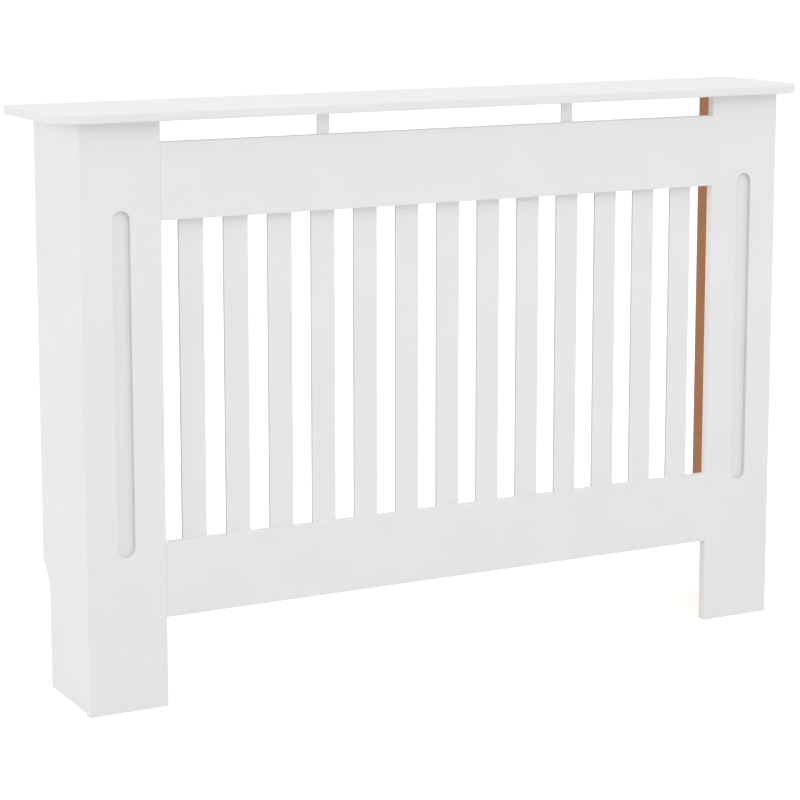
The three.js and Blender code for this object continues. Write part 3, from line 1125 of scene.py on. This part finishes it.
screw_nodes = sorted(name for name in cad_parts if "screw" in name)
patterns = {}
drilled = {}
for node in screw_nodes:
    low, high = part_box(node)
    direction = screw_direction(node)
    length = max(high - low)
    key = round(length / MM)
    if key not in patterns:
        patterns[key] = countersunk_screw(f"screw_pattern_{key}", length)
    head = (low + high) / 2
    if direction == "-y":
        head.y = high.y
    elif direction == "+z":
        head.z = low.z
    else:
        head.x = high.x if direction == "-x" else low.x
    place = Matrix.Translation(head) @ SCREW_TURNS[direction]
    screw = copy_piece(patterns[key], node.replace("_screw_", "_countersunk_"), Vector())
    screw.data.transform(place)
    hand_over(screw, node)
    piece = held_piece(node)
    drill(piece, length, place)
    drilled[piece.name] = piece
for piece in drilled.values():
    smooth(piece)
for pattern in patterns.values():
    bpy.data.objects.remove(pattern)
print(len(screw_nodes), "screws of lengths", sorted(patterns), "mm, in", len(drilled), "pieces")

# %% [markdown]
# ## Floor, light and backdrop
#
# The photograph is a studio shot on pure white with very soft light from all round. So the
# world is an even white, and wide lamps in front, above, at both sides and behind add the
# gentle fall of light, the shade under the shelf and the bright lines along its eased edges. A
# white floor reflects light back up. The camera sees the floor's own white lifted by a glow, so
# that floor and backdrop run into each other and only the soft shadow round the feet stays.

# %% Floor
FLOOR_REACH = 30.0
FLOOR_DROP = 0.05 * MM  # below the feet, so that the two faces don't flicker
FLOOR_COLOUR = "#e6e6e6"
FLOOR_LIFT = 0.62  # share of the floor's white that the camera sees as its own glow

bpy.ops.object.select_all(action="DESELECT")
bpy.ops.mesh.primitive_plane_add(size=2 * FLOOR_REACH, location=(0, 0, -FLOOR_DROP))
floor = bpy.context.object
floor.name = "studio_floor"

floor_white, tree, shader = new_material("matt_white_floor", {"Roughness": 0.9})
shader.inputs["Base Color"].default_value = linear(FLOOR_COLOUR)
shader.inputs["Specular IOR Level"].default_value = 0.0
path = add_node(tree, "LightPath")
seen = add_node(
    tree,
    "Math",
    {"operation": "MAXIMUM"},
    {0: path.outputs["Is Camera Ray"], 1: path.outputs["Is Glossy Ray"]},
)
glow = add_node(tree, "Emission", {"Color": (1, 1, 1, 1), "Strength": FLOOR_LIFT})
both = add_node(tree, "AddShader", None, {0: shader.outputs[0], 1: glow.outputs[0]})
choice = add_node(
    tree,
    "MixShader",
    None,
    {0: seen.outputs[0], 1: shader.outputs[0], 2: both.outputs[0]},
)
tree.links.new(choice.outputs[0], tree.nodes["Material Output"].inputs["Surface"])
floor.data.materials.append(floor_white)
print("floor", 2 * FLOOR_REACH, "metres wide")

# %% World and lamps
SKY_STRENGTH = 0.68  # of the light that the white world gives to the cover
SOFTBOXES = {  # where each lamp hangs, its width, both in metres, and its power in watts
    "front_softbox": ((-0.6, -4.7, 3.0), 2.0, 20.0),
    "high_softbox": ((0.0, -3.6, 4.2), 3.0, 30.0),
    "left_softbox": ((-5.5, -0.8, 1.8), 1.6, 41.0),
    "right_softbox": ((4.5, -3.5, 1.5), 3.0, 20.0),
    "top_softbox": ((0.0, -0.6, 4.5), 3.0, 24.0),
    "back_softbox": ((-3.5, 4.5, 2.0), 3.0, 28.0),
}
TARGET = Vector((0, 0, 0.4))

world = bpy.data.worlds.new("studio")
world.use_nodes = True
bpy.context.scene.world = world
tree = world.node_tree
path = add_node(tree, "LightPath")
shown = add_node(
    tree,
    "Math",
    {"operation": "MAXIMUM"},
    {0: path.outputs["Is Camera Ray"], 1: path.outputs["Is Glossy Ray"]},
)
clear = add_node(
    tree,
    "Math",
    {"operation": "MAXIMUM"},
    {0: shown.outputs[0], 1: path.outputs["Is Transmission Ray"]},
)
strength = add_node(
    tree,
    "MapRange",
    {"To Min": SKY_STRENGTH, "To Max": 1.0},
    {"Value": clear.outputs[0]},
)
tree.nodes["Background"].inputs["Color"].default_value = (1, 1, 1, 1)
tree.links.new(strength.outputs["Result"], tree.nodes["Background"].inputs["Strength"])


def softbox(name, place, width, power):
    """A wide square lamp that points at the cover."""
    light = bpy.data.lights.new(name, "AREA")
    light.shape = "SQUARE"
    light.size = width
    light.energy = power
    holder = bpy.data.objects.new(name, light)
    holder.location = place
    holder.rotation_euler = (TARGET - place).to_track_quat("-Z", "Y").to_euler()
    bpy.context.scene.collection.objects.link(holder)


for name, (place, width, power) in SOFTBOXES.items():
    softbox(name, Vector(place), width, power)
print("lamps:", *SOFTBOXES)

# %% [markdown]
# ## Finish
#
# The picture is shown with the plain Standard view, so that a colour comes out as it was
# written.

# %% Finish
bpy.context.scene.view_settings.view_transform = "Standard"
